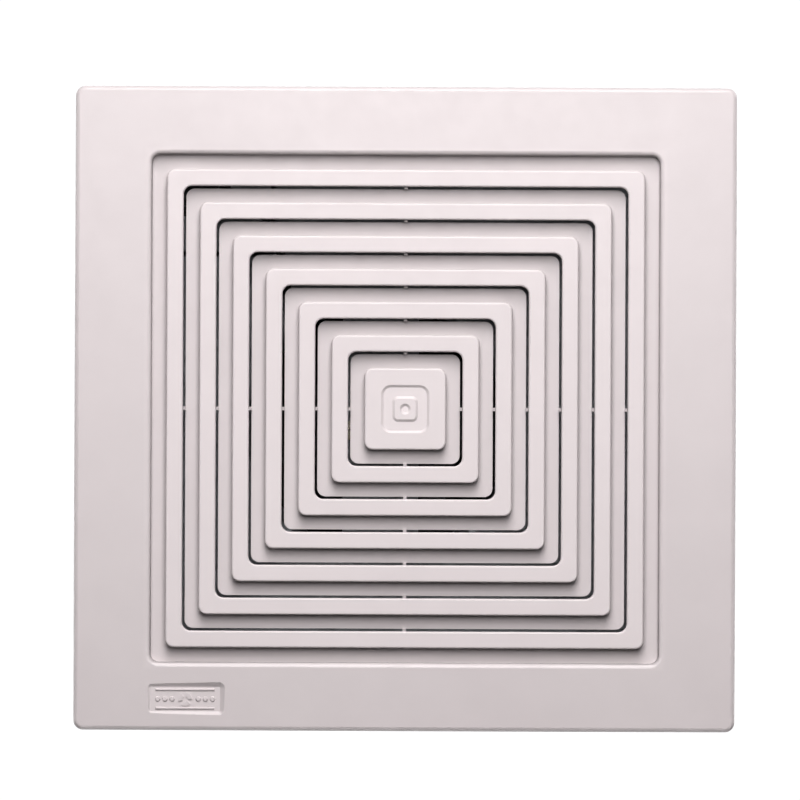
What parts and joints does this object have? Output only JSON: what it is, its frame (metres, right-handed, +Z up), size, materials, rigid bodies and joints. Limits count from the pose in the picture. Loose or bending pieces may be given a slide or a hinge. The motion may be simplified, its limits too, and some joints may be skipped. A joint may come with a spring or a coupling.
{
  "type": "bathroom extractor fan",
  "caption": "Square white louvred grille on springs over a steel wall housing with a centrifugal blower, motor and damped round duct collar.",
  "frame": {"origin": "middle of the wall opening, on the finished face of the wall", "axes": "+Y into the wall, so the grille faces -Y and the duct collar +Y; +Z up; +X to the right as seen from the room"},
  "size_m": [0.2414, 0.1502, 0.235],
  "materials": {
    "white_plastic": "satin white moulding",
    "zinc_sheet": "galvanised, dull spangle",
    "zinc_screw": "zinc-plated screw",
    "spring_steel": "bright spring wire",
    "silicon_steel": "varnished laminations",
    "copper": "bare copper",
    "enamel_wire": "enamelled copper winding under tape",
    "nylon": "natural nylon",
    "bracket_zinc": "die-cast bearing bracket",
    "bronze": "sintered bronze",
    "rotor_metal": "cast rotor with steel laminations",
    "shaft_steel": "ground steel",
    "wheel_plastic": "black moulded wheel",
    "duct_plastic": "black moulded connector",
    "flap_plastic": "pale moulded flaps",
    "black_plastic": "black socket and plug",
    "grommet_rubber": "soft black rubber",
    "foam": "closed-cell seal",
    "lead_jacket": "lead jacket",
    "bushing_metal": "cast conduit bushing"
  },
  "bodies": {
    "housing": {"mounting_bracket_left": "zinc_sheet", "mounting_bracket_right": "zinc_sheet", "bracket_screws": "zinc_screw", "scroll_band": "zinc_sheet", "wiring_box_cover": "zinc_sheet", "wiring_cover_screw": "zinc_screw", "ground_screw": "zinc_screw", "receptacle": "black_plastic", "motor_plug": "black_plastic", "conduit_bushing": "bushing_metal", "motor_plate": "zinc_sheet", "motor_plate_screws": "zinc_screw", "motor_bracket": "zinc_sheet", "motor_bracket_screws": "zinc_screw", "rubber_grommets": "grommet_rubber", "motor_spacers": "zinc_screw", "spacer_screws": "zinc_screw", "stator_core": "silicon_steel", "coil_bobbin": "nylon", "coil_winding": "enamel_wire", "shading_rings": "copper", "bearing_bracket_front": "bracket_zinc", "bearing_bracket_rear": "bracket_zinc", "bearing_bushes": "bronze", "motor_screws": "zinc_screw", "duct_connector": "duct_plastic", "duct_connector_screws": "zinc_screw", "damper_seal": "foam", "damper_hinge_pin": "shaft_steel", "motor_lead": "lead_jacket", "housing_wrap": "zinc_sheet", "housing_top": "zinc_sheet", "housing_back": "zinc_sheet"},
    "grille": {"grille_cover": "white_plastic", "spring_coil_left": "spring_steel", "spring_coil_right": "spring_steel"},
    "wheel": {"blower_wheel": "wheel_plastic", "rotor": "rotor_metal", "motor_shaft": "shaft_steel", "thrust_washers": "nylon", "wheel_clip": "spring_steel"},
    "leg_left_upper": {"spring_leg_left_upper": "spring_steel"},
    "leg_left_lower": {"spring_leg_left_lower": "spring_steel"},
    "leg_right_upper": {"spring_leg_right_upper": "spring_steel"},
    "leg_right_lower": {"spring_leg_right_lower": "spring_steel"},
    "flap": {"damper_flap": "flap_plastic"}
  },
  "joints": [
    {"name": "grille_pull", "type": "slide", "parent": "housing", "child": "grille", "axis": [0, -1, 0], "range_m": [0, 0.05], "stiffness_N_per_m": 80, "springref_m": -0.1},
    {"name": "wheel_spin", "type": "hinge", "parent": "housing", "child": "wheel", "pos_m": [-0.009, 0.06, -0.008], "axis": [0, -1, 0], "continuous": true},
    {"name": "leg_left_upper_turn", "type": "hinge", "parent": "grille", "child": "leg_left_upper", "pos_m": [-0.09265, -0.0014, 0], "axis": [1, 0, 0], "range_deg": [-12.6, 0]},
    {"name": "leg_left_lower_turn", "type": "hinge", "parent": "grille", "child": "leg_left_lower", "pos_m": [-0.10135, -0.0014, 0], "axis": [1, 0, 0], "range_deg": [0, 12.6]},
    {"name": "leg_right_upper_turn", "type": "hinge", "parent": "grille", "child": "leg_right_upper", "pos_m": [0.10135, -0.0014, 0], "axis": [1, 0, 0], "range_deg": [-12.6, 0]},
    {"name": "leg_right_lower_turn", "type": "hinge", "parent": "grille", "child": "leg_right_lower", "pos_m": [0.09265, -0.0014, 0], "axis": [1, 0, 0], "range_deg": [0, 12.6]},
    {"name": "damper_swing", "type": "hinge", "parent": "housing", "child": "flap", "pos_m": [0.047, 0.1037, 0.074], "axis": [1, 0, 0], "range_deg": [0, 78]}
  ],
  "couplings": [
    {"joint": "leg_left_upper_turn", "follows": "grille_pull", "rad_per_m": -4.328},
    {"joint": "leg_left_lower_turn", "follows": "grille_pull", "rad_per_m": 4.328},
    {"joint": "leg_right_upper_turn", "follows": "grille_pull", "rad_per_m": -4.328},
    {"joint": "leg_right_lower_turn", "follows": "grille_pull", "rad_per_m": 4.328}
  ]
}
